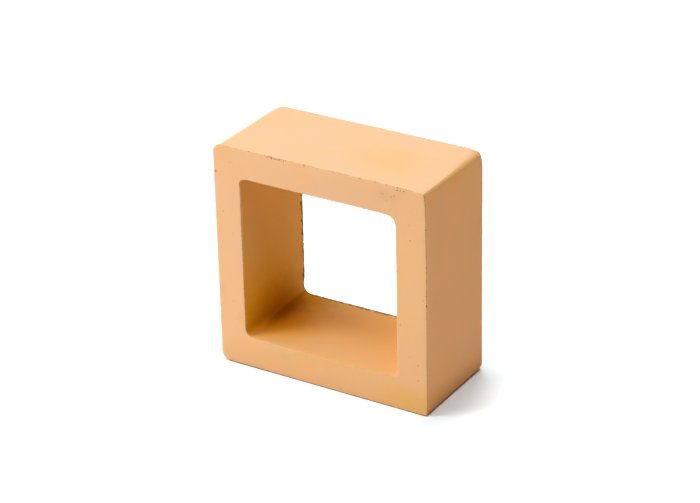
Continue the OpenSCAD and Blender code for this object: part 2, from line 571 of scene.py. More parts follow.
def add_outline(low, high, depth, radii, segments):
    """Adds a rounded rectangle of edges, facing along Y at that depth, to the mesh in edit mode."""
    centre = ((low.x + high.x) / 2, depth, (low.z + high.z) / 2)
    bpy.ops.mesh.select_all(action="DESELECT")
    bpy.ops.mesh.primitive_plane_add(size=1, location=centre, rotation=(math.pi / 2, 0, 0))
    bpy.ops.transform.resize(value=(high.x - low.x, 1, high.z - low.z), center_override=centre)
    corners = ((high.x, high.z), (high.x, low.z), (low.x, low.z), (low.x, high.z))
    for (x, z), radius in zip(corners, radii):
        select_parts("verts", lambda vert: (vert.co - Vector((x, depth, z))).length < radius / 4)
        bpy.ops.mesh.bevel(offset=radius, segments=segments, affect="VERTICES")
    select_parts("faces", lambda face: (face.calc_center_median() - Vector(centre)).length < radii[0])
    bpy.ops.mesh.delete(type="ONLY_FACE")


def subdivide_edges(test, length, pitch):
    """Cuts the edges that pass a test, which are about that long, into stretches of the pitch."""
    select_parts("edges", test)
    bpy.ops.mesh.subdivide(number_cuts=max(1, math.ceil(length / pitch) - 1))


def apply_modifiers(piece):
    """Applies the piece's modifiers in order."""
    bpy.context.view_layer.objects.active = piece
    for modifier in list(piece.modifiers):
        bpy.ops.object.modifier_apply(modifier=modifier.name)


def wear_in(piece, name, depth, length, level, group=""):
    """Moves the surface by a depth in all, in soft dents a length apart, about a level of their noise."""
    texture = bpy.data.textures.new(name, "CLOUDS")
    texture.noise_scale = length
    dents = piece.modifiers.new(name, "DISPLACE")
    dents.texture = texture
    dents.texture_coords = "LOCAL"
    dents.strength = depth
    dents.mid_level = level
    dents.vertex_group = group


def mesh_tube(name, shape, opening):
    """The block's plain form: a rounded square ring drawn out along its depth, with eased arrises."""
    low, high = CAD_BOX
    bpy.ops.object.add(type="MESH", enter_editmode=True)
    tube = bpy.context.object
    tube.name = tube.data.name = name
    add_outline(low, high, low.y, shape.corner_radii, shape.corner_segments)
    add_outline(*opening, low.y, shape.opening_radii, shape.corner_segments)
    bpy.ops.mesh.select_all(action="SELECT")
    bpy.ops.mesh.bridge_edge_loops()
    bpy.ops.mesh.select_all(action="SELECT")
    bpy.ops.mesh.extrude_region_move(TRANSFORM_OT_translate={"value": (0, high.y - low.y, 0)})
    bpy.ops.mesh.select_all(action="SELECT")
    bpy.ops.mesh.normals_make_consistent(inside=False)
    select_parts(
        "edges", lambda edge: abs(direction(edge).y) < ALONG_AXIS and edge.calc_face_angle(0) > ARRIS_ANGLE)
    bpy.ops.mesh.bevel(offset=shape.arris_radius, segments=shape.arris_segments, affect="EDGES")
    return tube


def divide_faces(shape, opening):
    """Divides the faces of the tube in edit mode into squares of the mesh pitch."""
    low, high = CAD_BOX
    halfway = [(a + b) / 2 for a, b in zip(CAD_BOX, opening)]

    def in_face(vert):
        return min(abs(vert.co.y - low.y), abs(vert.co.y - high.y)) < shape.arris_radius / 4

    def near_mouth(vert):
        return all(halfway[0][i] < vert.co[i] < halfway[1][i] for i in (0, 2))

    def crosses_wall(edge):
        first, second = edge.verts
        return in_face(first) and in_face(second) and near_mouth(first) != near_mouth(second)

    def runs_straight(edge):
        way = direction(edge)
        along = max(abs(way.x), abs(way.z)) > ALONG_AXIS
        return along and edge.calc_length() > (opening[1].x - opening[0].x) / 2

    def runs_deep(edge):
        return abs(direction(edge).y) > ALONG_AXIS and edge.calc_length() > (high.y - low.y) / 2

    subdivide_edges(crosses_wall, opening[0].x - low.x, shape.mesh_pitch)
    subdivide_edges(runs_straight, high.x - low.x, shape.mesh_pitch)
    subdivide_edges(runs_deep, high.y - low.y, shape.mesh_pitch)


def group_arrises(tube, shape):
    """Puts the points on the arrises in a vertex group of their own, for wear."""
    low, high = CAD_BOX
    group = tube.vertex_groups.new(name="arrises")
    reach = WEAR_REACH * shape.arris_radius
    near = [vert.index for vert in tube.data.vertices if min(vert.co.y - low.y, high.y - vert.co.y) < reach]
    group.add(near, 1, "REPLACE")
    return group.name


def from_stretch(place, first, last):
    """Distance of a place from the straight stretch between two points."""
    run = last - first
    share = (place - first).dot(run) / max(run.length_squared, MM * MM)
    return (place - first - min(max(share, 0), 1) * run).length


def slump(tube, opening):
    """Draws the corners and edges of the tube to where they sank or were rubbed."""
    bpy.ops.object.mode_set(mode="EDIT")
    for rectangle, first_sides, last_sides, move, reach, falloff in SLUMPS:
        low, high = CAD_BOX if rectangle == "block" else opening
        first, last = (
            Vector([low[i] + (high[i] - low[i]) * (1 + sides[i]) / 2 for i in range(3)])
            for sides in (first_sides, last_sides))
        points = bmesh.from_edit_mesh(tube.data).verts
        nearest = min(from_stretch(vert.co, first, last) for vert in points)
        select_parts("verts", lambda vert: from_stretch(vert.co, first, last) < SLUMP_REACH * nearest)
        bpy.ops.transform.translate(
            value=Vector(move) * MM, use_proportional_edit=True, proportional_edit_falloff=falloff,
            proportional_size=reach * MM)
    bpy.ops.object.mode_set(mode="OBJECT")


def fill_box(piece):
    """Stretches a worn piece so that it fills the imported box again, bar a hair, and stands on the floor."""
    gap = HAIR * Vector((1, 1, 1))
    low = CAD_BOX[0] + gap
    high = CAD_BOX[1] - gap
    worn = [[vert.co[i] for vert in piece.data.vertices] for i in range(3)]
    scale = [(high[i] - low[i]) / (max(worn[i]) - min(worn[i])) for i in range(3)]
    shift = [low[i] - scale[i] * min(worn[i]) for i in range(3)]
    piece.data.transform(Matrix.Translation(shift) @ Matrix.Diagonal((*scale, 1)))


# Pinholes, nicks and scratches

def arris_point(place, corners):
    """The nearest point on the sides of a rectangle along X and Z, and the way out of that side."""
    sides = [(i, corner, side) for i in (0, 2) for corner, side in zip(corners, (-1, 1))]
    axis, corner, side = min(sides, key=lambda found: abs(place[found[0]] - found[1][found[0]]))
    point = place.copy()
    point[axis] = corner[axis]
    way = Vector((0, 0, 0))
    way[axis] = side
    return point, way


def pinhole(place, way, width, chance):
    """A round mark: its place, its way out, the way it runs along the surface and its size."""
    along = way.orthogonal().normalized()
    return place, way, along, (width, width, width * chance.uniform(*PINHOLE_DEPTHS))


def ragged_marks(start, end, way, gap, largest, chance):
    """Nicks of uneven size along a stretch of arris."""
    along = (end - start).normalized()
    length = (end - start).length
    marks = []
    done = gap * chance.uniform(0, 1)
    while done < length:
        width = largest * (SMALLEST_NICK + (1 - SMALLEST_NICK) * chance.random() ** 2)
        size = (width * chance.uniform(*NICK_LENGTHS), width, width * chance.uniform(*NICK_DEPTHS))
        marks.append((start + done * along, way, along, size))
        done += gap * chance.uniform(*NICK_GAPS)
    return marks


def seen_marks(studio, opening, chance):
    """The marks that the photograph shows."""
    low, high = CAD_BOX
    forward = Vector((0, -1, 0))
    marks = []
    for across, down, width in FRONT_PINHOLES:
        marks.append(pinhole(pixel_on_plane(studio, across, down, low.y), forward, width * MM, chance))
    for across, down, length, slope in FRONT_SCRATCHES:
        place = pixel_on_plane(studio, across, down, low.y)
        along = Vector((math.cos(math.radians(slope)), 0, math.sin(math.radians(slope))))
        marks.append((place, forward, along, (length * MM, SCRATCH_WIDTH, SCRATCH_DEPTH)))
    for first, last, face, rectangle, gap, largest in RAGGED_ARRISES:
        depth, way = (low.y, forward) if face == "front" else (high.y, -forward)
        corners = CAD_BOX if rectangle == "block" else opening
        start, side = arris_point(pixel_on_plane(studio, *first, depth), corners)
        end, _ = arris_point(pixel_on_plane(studio, *last, depth), corners)
        outward = side if rectangle == "block" else -side
        marks += ragged_marks(start, end, (outward + way).normalized(), gap * MM, largest * MM, chance)
    return marks


def hidden_marks(settings, opening, chance):
    """Marks like those in the photograph, on the sides that it doesn't show."""
    low, high = CAD_BOX
    marks = settings.marks
    backward = Vector((0, 1, 0))
    seen_from = camera_axes(settings.studio)[2]
    margin = 2 * max(settings.shape.opening_radii)
    made = []
    for corners, outward in ((CAD_BOX, 1), (opening, -1)):
        for i, j in ((0, 2), (2, 0)):
            ends = (corners[0][j] + margin, corners[1][j] - margin)
            for corner, side in zip(corners, (-1, 1)):
                way = Vector((0, 0, 0))
                way[i] = side * outward
                seen = way.dot(seen_from) > 0
                for _ in range(0 if seen else marks.side_pinholes):
                    place = Vector((0, PINHOLE_DEPTH_SHARE * chance.uniform(low.y, high.y), 0))
                    place[i] = corner[i]
                    place[j] = chance.uniform(*ends)
                    width = marks.pinhole_width * chance.uniform(*SIDE_PINHOLE_WIDTHS)
                    made.append(pinhole(place, way, width, chance))
                start, end = (Vector((0, high.y, 0)) for _ in ends)
                start[i] = end[i] = corner[i]
                start[j], end[j] = ends
                wear = SEEN_WEAR if seen else 1
                arris_way = (way + backward).normalized()
                made += ragged_marks(
                    start, end, arris_way, marks.nick_gap / wear, marks.nick_width * wear, chance)
    holes = 0
    while holes < marks.back_pinholes:
        place = Vector((chance.uniform(low.x, high.x), high.y, chance.uniform(low.z, high.z)))
        in_block = all(low[i] + PINHOLE_INSET < place[i] < high[i] - PINHOLE_INSET for i in (0, 2))
        in_opening = all(
            opening[0][i] - PINHOLE_INSET < place[i] < opening[1][i] + PINHOLE_INSET for i in (0, 2))
        if in_block and not in_opening:
            width = marks.pinhole_width * chance.uniform(*BACK_PINHOLE_WIDTHS)
            made.append(pinhole(place, backward, width, chance))
            holes += 1
    return made


def mesh_lump(name):
    """A rough lump one unit across: what has gone from a pinhole or a nick."""
    bpy.ops.object.select_all(action="DESELECT")
    bpy.ops.mesh.primitive_ico_sphere_add(subdivisions=2, radius=0.5)
    lump = bpy.context.object
    lump.name = lump.data.name = name
    wear_in(lump, name, LUMP_DENTS, LUMP_DENT_LENGTH, EVEN_DENTS)
    apply_modifiers(lump)
    return lump


def place_lumps(name, block, marks, clay, chance):
    """A collection of the lumps that the marks are cut with, each set on the block's worn surface."""
    lump = mesh_lump(name)
    lump.data.materials.append(clay)
    lumps = bpy.data.collections.new(name)
    for place, way, along, size in marks:
        copy = lump.copy()
        copy.data = lump.data.copy()
        lumps.objects.link(copy)
        tumble = Euler([chance.uniform(0, math.tau) for _ in range(3)]).to_matrix()
        facing = Matrix((along, way.cross(along), way)).transposed()
        turned = facing @ Matrix.Diagonal(size) @ tumble
        _, surface, _, _ = block.closest_point_on_mesh(place)
        copy.matrix_world = Matrix.Translation(surface) @ turned.to_4x4()
    bpy.data.objects.remove(lump)
    bpy.context.collection.children.link(lumps)
    return lumps


def cut_marks(block, lumps):
    """Cuts the lumps out of the block, so that each leaves a hollow lined with its own clay."""
    cut = block.modifiers.new("cut marks", "BOOLEAN")
    cut.operand_type = "COLLECTION"
    cut.collection = lumps
    cut.operation = "DIFFERENCE"
    cut.solver = "MANIFOLD"
    cut.material_mode = "TRANSFER"
    bpy.ops.object.select_all(action="DESELECT")
    block.select_set(True)
    apply_modifiers(block)
    for lump in list(lumps.objects):
        bpy.data.objects.remove(lump)
    bpy.data.collections.remove(lumps)


def clean_cuts(piece, width):
    """Merges what is narrower than a width in the piece and dissolves points that join only two edges."""
    bpy.ops.object.mode_set(mode="EDIT")
    bpy.ops.mesh.select_all(action="SELECT")
    bpy.ops.mesh.remove_doubles(threshold=width)
    bpy.ops.mesh.select_all(action="SELECT")
    bpy.ops.mesh.dissolve_degenerate(threshold=width)
    select_parts("verts", lambda vert: len(vert.link_edges) == 2)
    bpy.ops.mesh.dissolve_verts()
    bpy.ops.object.mode_set(mode="OBJECT")


class BREEZE_OT_fired_block(bpy.types.Operator):
    """Model the fired clay block in the place of its plain solid"""

    bl_idname = "breeze.fired_block"
    bl_label = "Fired block"

    def execute(self, context):
        settings = context.scene.breeze_block
        shape = settings.shape
        opening = opening_limits()
        bpy.ops.object.select_all(action="DESELECT")
        block = mesh_tube("fired_block", shape, opening)
        divide_faces(shape, opening)
        bpy.ops.object.mode_set(mode="OBJECT")
        arrises = group_arrises(block, shape)
        slump(block, opening)
        wear_in(block, "bow", shape.bow, shape.bow_length, EVEN_DENTS)
        wear_in(block, "ripple", shape.ripple, shape.ripple_length, EVEN_DENTS)
        wear_in(block, "rub", shape.rub, shape.rub_length, RUBBED_DENTS, arrises)
        apply_modifiers(block)
        fill_box(block)
        block.data.materials.append(fired_skin(settings.finish, settings.studio, opening))
        chance = random.Random(settings.marks.seed)
        marks = seen_marks(settings.studio, opening, chance) + hidden_marks(settings, opening, chance)
        cut_marks(block, place_lumps("marks", block, marks, broken_clay(settings.finish), chance))
        clean_cuts(block, SLIVER)
        bpy.ops.object.shade_smooth_by_angle(angle=SMOOTH_ANGLE)
        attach(block, BODY)
        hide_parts(NODE)
        return {"FINISHED"}


# Clay finish

def empty_tree(owner):
    """The node tree of a material or a world, with nothing in it."""
    owner.use_nodes = True
    owner.node_tree.nodes.clear()
    return owner.node_tree


def new_material(name):
    """A material with its tree and shader, and the sockets of its object coordinates and normal."""
    material = bpy.data.materials.new(name)
    tree = empty_tree(material)
    shader = tree.nodes.new("ShaderNodeBsdfPrincipled")
    output = tree.nodes.new("ShaderNodeOutputMaterial")
    tree.links.new(shader.outputs["BSDF"], output.inputs["Surface"])
    coordinates = tree.nodes.new("ShaderNodeTexCoord").outputs
    return material, tree, shader, coordinates["Object"], coordinates["Normal"]


def new_group(name, inputs, outputs):
    """A shader node group with named sockets, and its inner ends."""
    tree = bpy.data.node_groups.new(name, "ShaderNodeTree")
    for in_out, sockets in (("INPUT", inputs), ("OUTPUT", outputs)):
        for socket, kind in sockets.items():
            tree.interface.new_socket(name=socket, in_out=in_out, socket_type=f"NodeSocket{kind}")
    start = tree.nodes.new("NodeGroupInput")
    end = tree.nodes.new("NodeGroupOutput")
    return tree, start.outputs, end.inputs


def use_group(tree, group, **inputs):
    """Outputs of a group's node in a tree, with its inputs linked to sockets or set to values."""
    node = tree.nodes.new("ShaderNodeGroup")
    node.node_tree = group
    for name, value in inputs.items():
        feed(tree, value, node.inputs[name.replace("_", " ").capitalize()])
    return node.outputs


def feed(tree, value, socket):
    """Links a socket to another, or sets its value."""
    if isinstance(value, bpy.types.NodeSocket):
        tree.links.new(value, socket)
    elif socket.type == "RGBA" and len(value) == 3:
        socket.default_value = (*value, 1)
    else:
        socket.default_value = value


def sums(tree, operation, *values, clamp=False):
    """Output of a Math node."""
    node = tree.nodes.new("ShaderNodeMath")
    node.operation = operation
    node.use_clamp = clamp
    for value, socket in zip(values, node.inputs):
        feed(tree, value, socket)
    return node.outputs[0]


def product(tree, first, *others):
    """Output of the Math nodes that multiply some values."""
    for other in others:
        first = sums(tree, "MULTIPLY", first, other)
    return first


def blended(tree, first, second, share):
    """Output of the Math nodes that add two values, with that share of the second."""
    return sums(tree, "ADD", product(tree, first, 1 - share), product(tree, second, share))


def vector_sums(tree, operation, *values):
    """Output of a Vector Math node."""
    node = tree.nodes.new("ShaderNodeVectorMath")
    node.operation = operation
    for value, socket in zip(values, node.inputs):
        feed(tree, value, socket)
    return node.outputs["Value" if operation == "LENGTH" else "Vector"]


def spread(tree, value, span, shares=(0, 1)):
    """Output of a smooth Map Range node, from a span of values to a pair of shares."""
    node = tree.nodes.new("ShaderNodeMapRange")
    node.interpolation_type = "SMOOTHSTEP"
    feed(tree, value, node.inputs["Value"])
    for name, setting in zip(("From Min", "From Max", "To Min", "To Max"), (*span, *shares)):
        feed(tree, setting, node.inputs[name])
    return node.outputs["Result"]


def noise(tree, place, length, detail, roughness):
    """Output of a Noise Texture node, with spots about that length apart."""
    node = tree.nodes.new("ShaderNodeTexNoise")
    feed(tree, place, node.inputs["Vector"])
    feed(tree, sums(tree, "DIVIDE", 1, length), node.inputs["Scale"])
    feed(tree, detail, node.inputs["Detail"])
    feed(tree, roughness, node.inputs["Roughness"])
    return node.outputs["Fac"]


def mixed(tree, factor, first, second, blend="MIX"):
    """Output of a colour Mix node."""
    node = tree.nodes.new("ShaderNodeMix")
    node.data_type = "RGBA"
    node.blend_type = blend
    feed(tree, factor, node.inputs["Factor"])
    feed(tree, first, node.inputs[MIX_FIRST])
    feed(tree, second, node.inputs[MIX_SECOND])
    return node.outputs[MIX_RESULT]


def split(tree, vector):
    """X, Y and Z outputs of a Separate XYZ node."""
    node = tree.nodes.new("ShaderNodeSeparateXYZ")
    feed(tree, vector, node.inputs[0])
    return node.outputs


def opening_group():
    """Whether a place is in the opening, how far it has the opening's colour, and how far through it is."""
    tree, given, made = new_group(
        "Opening",
        {"Place": "Vector", "Centre": "Vector", "Half": "Vector", "Mouth blend": "Float"},
        {"Inside": "Float", "Own colour": "Float", "Through": "Float"})
    offset = vector_sums(tree, "SUBTRACT", given["Place"], given["Centre"])
    room = split(tree, vector_sums(tree, "SUBTRACT", given["Half"], vector_sums(tree, "ABSOLUTE", offset)))
    inside = spread(tree, sums(tree, "MINIMUM", room["X"], room["Z"]), LIP)
    deep = spread(tree, room["Y"], (0, given["Mouth blend"]))
    share = split(tree, vector_sums(tree, "DIVIDE", offset, given["Half"]))
    tree.links.new(inside, made["Inside"])
    tree.links.new(product(tree, inside, deep), made["Own colour"])
    tree.links.new(spread(tree, share["Y"], THROUGH), made["Through"])
    return tree


def tone_group():
    """Colour of the clay by which way it faces, outside and in the opening, with soft patches: a paler top,
    more saturated sides and a deeper opening are painted light and shade, and the outer faces darken towards
    the foot as painted shade.
    """
    colours = ("Side", "Face", "Top", "Damp", "Wall near", "Wall far", "Floor near", "Floor far")
    tree, given, made = new_group(
        "Clay tone",
        {"Place": "Vector", "Facing": "Vector", "Inside": "Float", "Own colour": "Float", "Through": "Float",
         "Patch length": "Float", "Damp height": "Float", **{name: "Color" for name in colours}},
        {"Colour": "Color", "Patches": "Float"})
    facing = split(tree, given["Facing"])
    aside = sums(tree, "ABSOLUTE", facing["X"])
    outside = sums(tree, "SUBTRACT", 1, given["Inside"])
    close_length = sums(tree, "DIVIDE", given["Patch length"], CLOSE_PATCHES)
    wide = noise(tree, given["Place"], given["Patch length"], detail=2, roughness=0.45)
    close = noise(tree, given["Place"], close_length, detail=4, roughness=0.6)
    patches = blended(tree, wide, close, CLOSE_SHARE)
    drift = product(tree, sums(tree, "SUBTRACT", patches, 0.5), PATCH_DRIFT)
    upward = sums(tree, "ADD", spread(tree, facing["Z"], OUTER_TURN), drift, clamp=True)
    sideways = sums(tree, "ADD", spread(tree, aside, OUTER_TURN), drift, clamp=True)
    downward = spread(tree, facing["Z"], [-turn for turn in OUTER_TURN])
    sideways = product(tree, sums(tree, "MAXIMUM", sideways, downward), outside)
    outer = mixed(tree, sideways, given["Face"], given["Side"])
    outer = mixed(tree, product(tree, upward, outside), outer, given["Top"])
    # Painted shade: the outer faces darken towards the foot, the left and right faces most
    height = split(tree, given["Place"])["Z"]
    low = sums(tree, "SUBTRACT", 1, sums(tree, "DIVIDE", height, given["Damp height"]), clamp=True)
    damp = product(tree, low, low, spread(tree, aside, LOW_SHADE_TURN, LOW_SHADE_SHARES), outside)
    outer = mixed(tree, damp, outer, given["Damp"])
    # Painted shade: the opening's walls and floor take deeper colours that change from front to back
    wall = mixed(tree, given["Through"], given["Wall near"], given["Wall far"])
    floor = mixed(tree, given["Through"], given["Floor near"], given["Floor far"])
    inner = mixed(tree, spread(tree, facing["Z"], FLOOR_TURN), wall, floor)
    tree.links.new(mixed(tree, given["Own colour"], outer, inner), made["Colour"])
    tree.links.new(patches, made["Patches"])
    return tree


def mottle_group():
    """Soft cloudy shift of the clay's colour, between warmer and greyer."""
    tree, given, made = new_group(
        "Clay mottle", {"Place": "Vector", "Colour": "Color", "Mottle length": "Float"}, {"Colour": "Color"})
    clouds = noise(tree, given["Place"], given["Mottle length"], detail=4, roughness=0.55)
    tint = mixed(tree, spread(tree, clouds, CLOUD_NOISE), WARM_TINT, GREY_TINT)
    tree.links.new(mixed(tree, 1, given["Colour"], tint, "MULTIPLY"), made["Colour"])
    return tree


def shade_and_wear_group():
    """How far the arrises are rubbed and shaded, and how far painted shade lies on the upper edge, the back
    mouth's rim and the foot.
    """
    tree, given, made = new_group(
        "Clay soil",
        {"Place": "Vector", "Facing": "Vector", "Inside": "Float", "Corner": "Vector", "Wear length": "Float",
         "Rim": "Float", "Foot": "Float"},
        {"Arrises": "Float", "Edge": "Float", "Soot": "Float", "Soil": "Float"})
    facing = split(tree, given["Facing"])
    uneven = noise(tree, given["Place"], given["Wear length"], detail=4, roughness=0.65)
    turned = product(tree, facing["Y"], facing["Y"])
    on_arris = product(tree, turned, sums(tree, "SUBTRACT", 1, turned))
    # The arris tint is wear where the arrises are rubbed and painted shade elsewhere; on the opening's sill
    # it is held at a set share that dims the highlight
    sill = product(tree, spread(tree, facing["Z"], SILL_TURN), given["Inside"])
    rubbed = spread(tree, uneven, RUB_NOISE, RUB_SHARES)
    rubbed = sums(tree, "ADD", rubbed, product(tree, sums(tree, "SUBTRACT", SILL_SHADE, rubbed), sill))
    # Painted shade on the rounded edge between the top and right faces, outside the opening
    upper = spread(tree, product(tree, facing["X"], facing["Z"]), EDGE_SHADE_TURN)
    # Painted shade: a dark, ragged rim inside the opening next to the back mouth, strongest on faces turned
    # right or up
    short = split(tree, vector_sums(tree, "SUBTRACT", given["Corner"], given["Place"]))
    rim_width = product(tree, spread(tree, uneven, RAGGED_SHADE_NOISE, RIM_SHARES), given["Rim"])
    rim = spread(tree, sums(tree, "DIVIDE", short["Y"], rim_width), SHADE_FADE)
    off_back = spread(tree, facing["Y"], BACK_TURN)
    shown = spread(tree, sums(tree, "MAXIMUM", facing["X"], facing["Z"]), RIM_SHADE_TURN, RIM_SHADE_SHARES)
    # Painted contact shade: a dark band of ragged height along the foot, highest on the left and right faces
    on_sides = spread(tree, sums(tree, "ABSOLUTE", facing["X"]), FOOT_TURN, FOOT_SHARES)
    foot_shade_height = product(tree, spread(tree, uneven, RAGGED_SHADE_NOISE, FOOT_SHADE_SHARES), given["Foot"], on_sides)
    height = split(tree, given["Place"])["Z"]
    tree.links.new(product(tree, spread(tree, on_arris, ARRIS_TURN), rubbed), made["Arrises"])
    tree.links.new(product(tree, upper, sums(tree, "SUBTRACT", 1, given["Inside"])), made["Edge"])
    tree.links.new(product(tree, rim, given["Inside"], off_back, shown), made["Soot"])
    tree.links.new(spread(tree, sums(tree, "DIVIDE", height, foot_shade_height), SHADE_FADE), made["Soil"])
    return tree


def grit_group():
    """Sparse specks of grit, some large and most tiny."""
    tree, given, made = new_group(
        "Clay grit", {"Place": "Vector", "Spacing": "Float", "Largest": "Float"}, {"Specks": "Float"})
    cells = tree.nodes.new("ShaderNodeTexVoronoi")
    feed(tree, given["Place"], cells.inputs["Vector"])
    feed(tree, sums(tree, "DIVIDE", 1, given["Spacing"]), cells.inputs["Scale"])
    few = sums(tree, "POWER", split(tree, cells.outputs["Color"])["X"], GRIT_POWER)
    radius = sums(tree, "DIVIDE", product(tree, given["Largest"], few), given["Spacing"])
    specks = spread(tree, cells.outputs["Distance"], (radius, product(tree, radius, GRIT_CORE)))
    tree.links.new(specks, made["Specks"])
    return tree


def spot_group():
    """One soft spot round a place, with an edge that is more or less ragged."""
    tree, given, made = new_group(
        "Clay spot",
        {"Place": "Vector", "Centre": "Vector", "Reach": "Vector", "Strength": "Float", "Ragged": "Float"},
        {"Spot": "Float"})
    offset = vector_sums(tree, "SUBTRACT", given["Place"], given["Centre"])
    distance = vector_sums(tree, "LENGTH", vector_sums(tree, "DIVIDE", offset, given["Reach"]))
    uneven = noise(tree, given["Place"], SPOT_EDGE, detail=4, roughness=0.6)
    bulge = product(tree, sums(tree, "SUBTRACT", uneven, 0.5), given["Ragged"])
    spot = spread(tree, sums(tree, "ADD", distance, bulge), SPOT_FADE)
    tree.links.new(product(tree, spot, given["Strength"]), made["Spot"])
    return tree


def grain_group():
    """Height of the fine grain of the clay, from 0 to 1."""
    tree, given, made = new_group(
        "Clay grain", {"Place": "Vector", "Grain length": "Float"}, {"Height": "Float"})
    coarse_length = product(tree, given["Grain length"], COARSE_GRAIN)
    fine = noise(tree, given["Place"], given["Grain length"], detail=4, roughness=0.65)
    coarse = noise(tree, given["Place"], coarse_length, detail=2, roughness=0.5)
    tree.links.new(blended(tree, fine, coarse, COARSE_SHARE), made["Height"])
    return tree


def add_bump(tree, shader, height, depth):
    """Raises the shader's surface by a height socket, from 0 to the depth."""
    bump = tree.nodes.new("ShaderNodeBump")
    bump.inputs["Strength"].default_value = 1
    bump.inputs["Distance"].default_value = depth
    tree.links.new(height, bump.inputs["Height"])
    tree.links.new(bump.outputs["Normal"], shader.inputs["Normal"])


def corner_shaded(tree, colour, spot, finish, place, facing, inside, opening):
    """Socket of the colour with the painted shade in the opening's lower left corner over it."""
    turned = split(tree, facing)
    for surface, depth, reach, tint in CORNER_SHADES:
        centre = Vector((opening[0].x, opening[0].y + depth * MM, opening[0].z))
        corner_shade = use_group(
            tree, spot, place=place, centre=centre, reach=Vector(reach) * MM, strength=1, ragged=CORNER_SHADE_RAGGED)
        here = spread(tree, turned["X" if surface == "wall" else "Z"], CORNER_SHADE_TURN)
        colour = mixed(tree, product(tree, corner_shade["Spot"], inside, here), colour, getattr(finish, tint))
    return colour


def spotted(tree, colour, spot, finish, place, studio):
    """Socket of the colour with the faint spots of the faces in the photograph over it, some of them painted
    light and glow.
    """
    for across, down, face, reach, strength, tint in COLOUR_SPOTS:
        centre = pixel_on_face(studio, across, down, face)
        mark = use_group(
            tree, spot, place=place, centre=centre, reach=Vector(reach) * MM, strength=strength,
            ragged=SPOT_RAGGED)
        colour = mixed(tree, mark["Spot"], colour, getattr(finish, tint))
    return colour


def fired_skin(finish, studio, opening):
    """Unglazed fired clay: soft patches of colour, grit, handling smudges and a fine grain, with light and
    shade painted in by facing, in the opening, on the edges and at the foot.
    """
    material, tree, shader, place, facing = new_material("fired skin")
    low, high = opening
    hole = use_group(
        tree, opening_group(), place=place, centre=(low + high) / 2, half=(high - low) / 2,
        mouth_blend=finish.mouth_blend)
    inside = hole["Inside"]
    tones = ("side", "face", "top", "damp", "wall_near", "wall_far", "floor_near", "floor_far")
    tone = use_group(
        tree, tone_group(), place=place, facing=facing, inside=inside, own_colour=hole["Own colour"],
        through=hole["Through"], patch_length=finish.patch_length, damp_height=finish.damp_height,
        **{name: getattr(finish, name) for name in tones})
    spot = spot_group()
    colour = corner_shaded(tree, tone["Colour"], spot, finish, place, facing, inside, opening)
    colour = spotted(tree, colour, spot, finish, place, studio)
    mottle = use_group(
        tree, mottle_group(), place=place, colour=colour, mottle_length=finish.mottle_length)
    soil = use_group(
        tree, shade_and_wear_group(), place=place, facing=facing, inside=inside, corner=CAD_BOX[1],
        wear_length=finish.wear_length, rim=finish.rim, foot=finish.foot)
    grit = use_group(
        tree, grit_group(), place=place, spacing=finish.grit_spacing, largest=finish.grit_radius)
    colour = mottle["Colour"]
    # The upper edge, back rim and foot tints are painted shade, the arris tint is partly wear and partly
    # painted shade, and the grit is the clay's own
    for mask, tint in (
        (soil["Edge"], finish.edge), (soil["Arrises"], finish.arris), (soil["Soot"], finish.soot),
        (soil["Soil"], finish.soil), (grit["Specks"], finish.grit),
    ):
        colour = mixed(tree, mask, colour, tint)
    tree.links.new(colour, shader.inputs["Base Color"])
    roughness = spread(tree, tone["Patches"], PATCH_NOISE, SKIN_ROUGHNESS)
    tree.links.new(roughness, shader.inputs["Roughness"])
    shader.inputs["Specular IOR Level"].default_value = SKIN_SPECULAR
    grain = use_group(tree, grain_group(), place=place, grain_length=finish.grain_length)
    add_bump(tree, shader, grain["Height"], finish.grain_depth)
    return material


def broken_clay(finish):
    """Raw clay inside the pinholes and nicks, with a grain twice as fine and deep as the skin's."""
    material, tree, shader, place, _ = new_material("broken clay")
    shade = spread(tree, noise(tree, place, BROKEN_LENGTH, detail=3, roughness=0.5), PATCH_NOISE)
    darker = [BROKEN_SHADE * part for part in finish.broken]
    tree.links.new(mixed(tree, shade, finish.broken, darker), shader.inputs["Base Color"])
    shader.inputs["Roughness"].default_value = BROKEN_ROUGHNESS
    shader.inputs["Specular IOR Level"].default_value = 0
    grain = use_group(
        tree, bpy.data.node_groups["Clay grain"], place=place, grain_length=finish.grain_length / 2)
    add_bump(tree, shader, grain["Height"], 2 * finish.grain_depth)
    return material


# Studio

def add_camera(studio):
    """Camera at the photograph's viewing angle."""
    data = bpy.data.cameras.new("camera")
    data.lens = studio.lens
    data.sensor_width = FILM_WIDTH
    camera = bpy.data.objects.new("camera", data)
    bpy.context.collection.objects.link(camera)
    axes = Matrix(camera_axes(studio)).transposed()
    camera.matrix_world = Matrix.Translation(camera_place(studio)) @ axes.to_4x4()
    bpy.context.scene.camera = camera


def add_soft_box(studio, name, size):
    """Square soft light that faces the block from its own azimuth and elevation."""
    data = bpy.data.lights.new(name, "AREA")
    data.shape = "SQUARE"
    data.size = size
    data.energy = getattr(studio, f"{name}_power")
    way = way_to(getattr(studio, f"{name}_azimuth"), getattr(studio, f"{name}_elevation"))
    box = bpy.data.objects.new(name, data)
    bpy.context.collection.objects.link(box)
    box.location = (CAD_BOX[0] + CAD_BOX[1]) / 2 + studio.light_distance * way
    box.rotation_euler = way.to_track_quat("Z", "Y").to_euler()


def seen_directly(tree):
    """Socket that is 1 where the camera sees a surface, straight or through a reflection or glass."""
    path = tree.nodes.new("ShaderNodeLightPath").outputs
    seen = path["Is Camera Ray"]
    for name in ("Is Glossy Ray", "Is Transmission Ray"):
        seen = sums(tree, "MAXIMUM", seen, path[name])
    return seen


